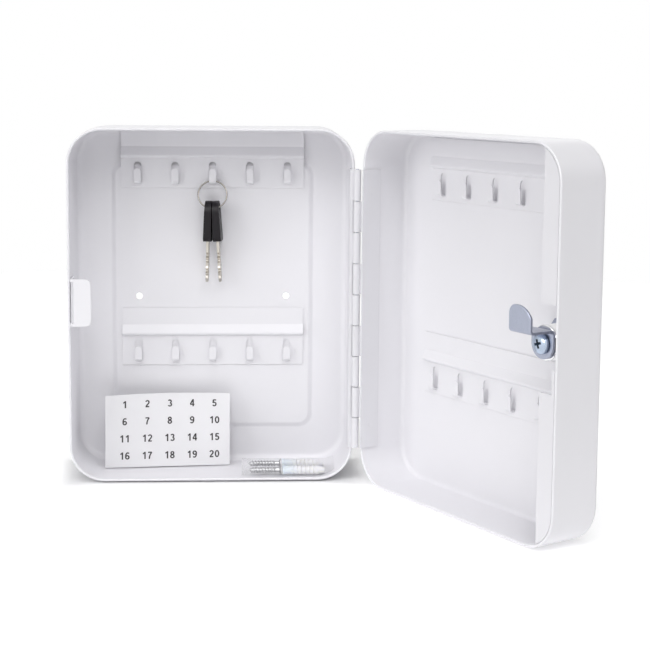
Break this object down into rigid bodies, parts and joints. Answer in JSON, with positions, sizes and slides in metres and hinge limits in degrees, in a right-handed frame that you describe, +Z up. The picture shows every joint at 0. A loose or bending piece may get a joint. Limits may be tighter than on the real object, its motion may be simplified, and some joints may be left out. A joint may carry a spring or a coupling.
{
  "type": "key cabinet",
  "caption": "Small steel wall key cabinet with hook rails in body and door, piano hinge, cam lock, keys on a ring, label sheet and wall fixings",
  "frame": {"origin": "on the flat bottom face of the body, midway across its width and midway between its rim and its back", "axes": "+X to the hinge side, +Y towards the wall the cabinet hangs on, +Z up"},
  "size_m": [0.2719, 0.1834, 0.2],
  "materials": {
    "grey_paint": "smooth semi-gloss powder paint",
    "hinge_paint": "semi-gloss paint",
    "zinc": "zinc plated",
    "chrome": "polished chrome plate",
    "brass": "stamped",
    "spring_steel": "bare wire",
    "nickel": "nickel plated",
    "black_plastic": "fine matt",
    "paper": "printed label sheet",
    "plug_plastic": "moulded nylon",
    "film": "clear polythene film"
  },
  "bodies": {
    "cabinet": {"body_shell": "grey_paint", "strike_plate": "grey_paint", "hinge_leaf_body": "hinge_paint", "hinge_pin": "zinc", "hook_rail_body_top": "grey_paint", "hook_rail_body_bottom": "grey_paint", "number_sheet": "paper", "wall_screw_1": "zinc", "wall_screw_2": "zinc", "wall_plug_1": "plug_plastic", "wall_plug_2": "plug_plastic", "fixings_bag": "film"},
    "door": {"door_shell": "grey_paint", "door_edge_stiffener": "grey_paint", "hinge_leaf_door": "hinge_paint", "hook_rail_door_top": "grey_paint", "hook_rail_door_bottom": "grey_paint", "lock_barrel": "chrome", "lock_washer": "zinc", "lock_nut": "zinc"},
    "lock_rotor": {"lock_plug": "chrome", "lock_cam": "zinc", "cam_screw": "zinc", "lock_wafer_1": "brass", "lock_wafer_2": "brass", "lock_wafer_3": "brass", "lock_wafer_4": "brass", "lock_wafer_5": "brass", "lock_spring_1": "spring_steel", "lock_spring_2": "spring_steel", "lock_spring_3": "spring_steel", "lock_spring_4": "spring_steel", "lock_spring_5": "spring_steel"},
    "ring": {"key_ring": "nickel"},
    "key_1": {"key_1_head": "black_plastic", "key_1_blade": "nickel"},
    "key_2": {"key_2_head": "black_plastic", "key_2_blade": "nickel"}
  },
  "joints": [
    {"name": "door_hinge", "type": "hinge", "parent": "cabinet", "child": "door", "pos_m": [0.08125, -0.0245, 0.0987], "axis": [0, 0, 1], "range_deg": [-121, 59]},
    {"name": "lock_turn", "type": "hinge", "parent": "door", "child": "lock_rotor", "pos_m": [0.16557, -0.13629, 0.1003], "axis": [0.8572, 0.515, 0], "range_deg": [0, 90]},
    {"name": "ring_swing", "type": "hinge", "parent": "cabinet", "child": "ring", "pos_m": [0, 0.01665, 0.16798], "axis": [-1, 0, 0], "range_deg": [0, 35]},
    {"name": "key_1_swing", "type": "hinge", "parent": "ring", "child": "key_1", "pos_m": [-0.00215, 0.01135, 0.15341], "axis": [-0.9973, 0.0697, 0.0227], "range_deg": [0, 40]},
    {"name": "key_2_swing", "type": "hinge", "parent": "ring", "child": "key_2", "pos_m": [0.00215, 0.01135, 0.15341], "axis": [-0.9961, 0.0697, -0.0541], "range_deg": [0, 40]}
  ]
}
